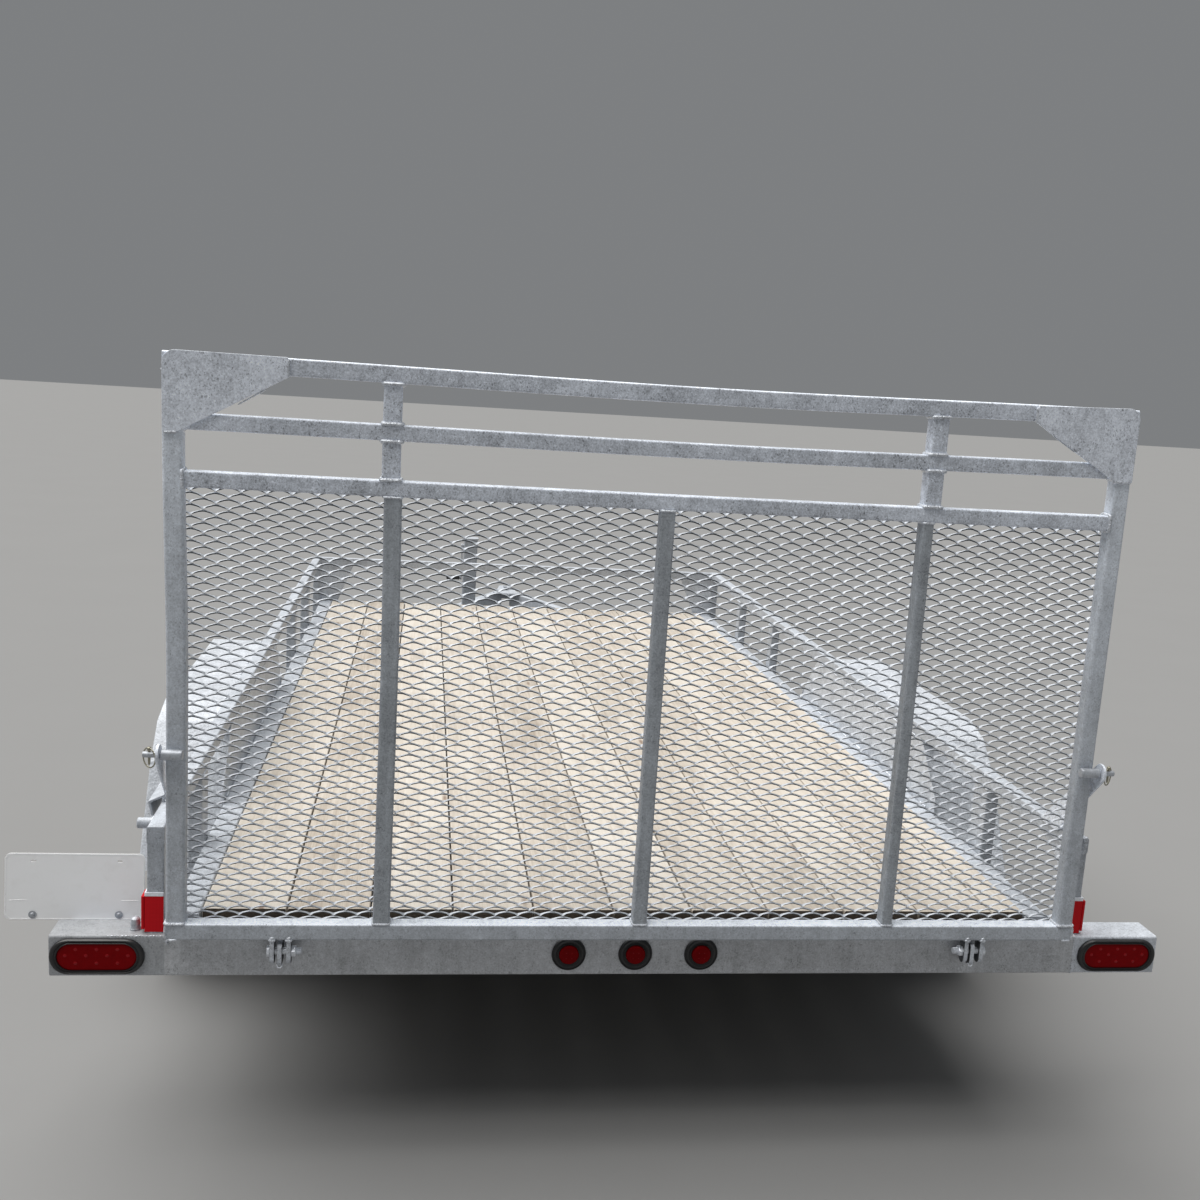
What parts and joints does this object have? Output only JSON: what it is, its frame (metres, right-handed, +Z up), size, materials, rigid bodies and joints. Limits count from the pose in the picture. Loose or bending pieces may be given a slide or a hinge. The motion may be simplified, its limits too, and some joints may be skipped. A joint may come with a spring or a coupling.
{
  "type": "tandem utility trailer with ramp gate",
  "caption": "Galvanized tandem utility trailer: plank deck in a low tube rail, fenders over the wheels, hinged mesh ramp gate, A-frame tongue with coupler and drop-leg jack.",
  "frame": {"origin": "on the ground under the middle of the bounding box; the trailer's centreline is X = +0.066 m, because the number plate overhangs the left side", "axes": "+Y forwards to the coupler, +X to the right, +Z up"},
  "size_m": [2.722, 5.496, 1.79],
  "materials": {
    "galvanized_steel": "hot-dip galvanized steel: pale grey with a mottled zinc bloom",
    "deck_wood": "pale sawn softwood boards, matt, with fine grain and knots",
    "tyre_rubber": "black road tyre rubber",
    "wheel_silver": "silver steel wheel",
    "black_rubber": "black rubber lamp grommet",
    "red_lens": "deep red ribbed lamp lens",
    "red_reflector": "red reflective strip",
    "plate_white": "blank white enamelled plate",
    "zinc_hardware": "bright zinc-plated steel",
    "dark_steel": "dull grey galvanized and blackened steel"
  },
  "bodies": {
    "trailer": {"axles": "dark_steel", "beam_hinge_lugs": "galvanized_steel", "corner_plates": "galvanized_steel", "coupler": "galvanized_steel", "coupler_latch": "zinc_hardware", "cross_members": "galvanized_steel", "deck_planks": "deck_wood", "fender_left": "galvanized_steel", "fender_right": "galvanized_steel", "fender_walls": "galvanized_steel", "frame_front": "galvanized_steel", "frame_side_left": "galvanized_steel", "frame_side_right": "galvanized_steel", "jack_bracket": "galvanized_steel", "jack_crank": "zinc_hardware", "jack_tube": "galvanized_steel", "latch_brackets": "galvanized_steel", "latch_pins": "zinc_hardware", "leaf_springs": "dark_steel", "light_grommets": "black_rubber", "light_lenses": "red_lens", "number_plate": "plate_white", "plate_bracket": "galvanized_steel", "rear_beam": "galvanized_steel", "reflectors": "red_reflector", "side_lug_left": "galvanized_steel", "side_posts_left": "galvanized_steel", "side_posts_right": "galvanized_steel", "spring_hangers": "dark_steel", "tongue_left": "galvanized_steel", "tongue_right": "galvanized_steel", "top_rail_front": "galvanized_steel", "top_rail_left": "galvanized_steel", "top_rail_right": "galvanized_steel"},
    "wheel_left_rear_body": {"tyre_left_rear": "tyre_rubber", "wheel_left_rear": "wheel_silver"},
    "wheel_left_front_body": {"tyre_left_front": "tyre_rubber", "wheel_left_front": "wheel_silver"},
    "wheel_right_rear_body": {"tyre_right_rear": "tyre_rubber", "wheel_right_rear": "wheel_silver"},
    "wheel_right_front_body": {"tyre_right_front": "tyre_rubber", "wheel_right_front": "wheel_silver"},
    "gate": {"gate_bars": "galvanized_steel", "gate_posts": "galvanized_steel", "gate_uprights": "galvanized_steel", "gate_mesh": "galvanized_steel", "gate_corner_plates": "galvanized_steel", "gate_hinge_lugs": "galvanized_steel", "gate_hinge_bolts": "zinc_hardware"},
    "jack_slide": {"jack_leg": "galvanized_steel", "jack_foot": "galvanized_steel"}
  },
  "joints": [
    {"name": "wheel_left_rear_spin", "type": "hinge", "parent": "trailer", "child": "wheel_left_rear_body", "pos_m": [-1.095, -1.522, 0.331], "axis": [1, 0, 0], "continuous": true},
    {"name": "wheel_left_front_spin", "type": "hinge", "parent": "trailer", "child": "wheel_left_front_body", "pos_m": [-1.095, -0.722, 0.331], "axis": [1, 0, 0], "continuous": true},
    {"name": "wheel_right_rear_spin", "type": "hinge", "parent": "trailer", "child": "wheel_right_rear_body", "pos_m": [1.227, -1.522, 0.331], "axis": [1, 0, 0], "continuous": true},
    {"name": "wheel_right_front_spin", "type": "hinge", "parent": "trailer", "child": "wheel_right_front_body", "pos_m": [1.227, -0.722, 0.331], "axis": [1, 0, 0], "continuous": true},
    {"name": "gate_hinge", "type": "hinge", "parent": "trailer", "child": "gate", "pos_m": [0.066, -2.696, 0.503], "axis": [1, 0, 0], "range_deg": [0, 110]},
    {"name": "jack_slide_joint", "type": "slide", "parent": "trailer", "child": "jack_slide", "axis": [0, 0, 1], "range_m": [0, 0.2]}
  ]
}
